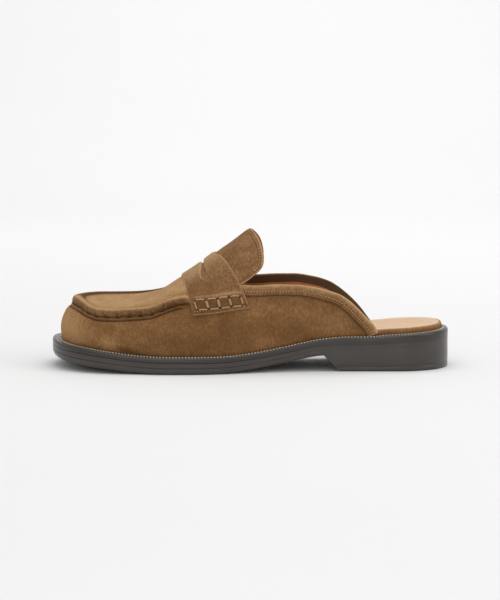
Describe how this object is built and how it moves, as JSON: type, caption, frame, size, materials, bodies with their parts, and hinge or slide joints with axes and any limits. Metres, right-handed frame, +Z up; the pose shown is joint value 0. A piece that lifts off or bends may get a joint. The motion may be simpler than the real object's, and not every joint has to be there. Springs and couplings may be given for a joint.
{
  "type": "backless penny loafer",
  "caption": "Backless moccasin-toe penny loafer in suede with a slotted saddle strap, standing tongue, open collar, dark welted sole and low block heel.",
  "frame": {"origin": "centre of the shoe's box at floor level, where the outsole's forepart and the heel stand", "axes": "-X towards the toe, +X towards the heel, -Y towards the wearer's left (outer side), +Z up from the floor"},
  "size_m": [0.29, 0.104, 0.1007],
  "materials": {
    "suede": "brushed suede with a short mottled nap",
    "sock": "smooth pale tan sock leather, suede-wrapped edge",
    "lining": "smooth orange-brown lining leather",
    "thread": "waxed thread",
    "sole": "dark brown, semi-gloss edge",
    "welt": "dark stitched welt, waxed"
  },
  "bodies": {
    "root": {"outsole": "sole", "heel": "sole", "welt": "welt", "insole": "sock", "upper": "suede", "plug": "suede", "tongue": "suede", "strap": "suede", "collar_band_outer": "suede", "collar_band_inner": "suede"}
  },
  "joints": []
}
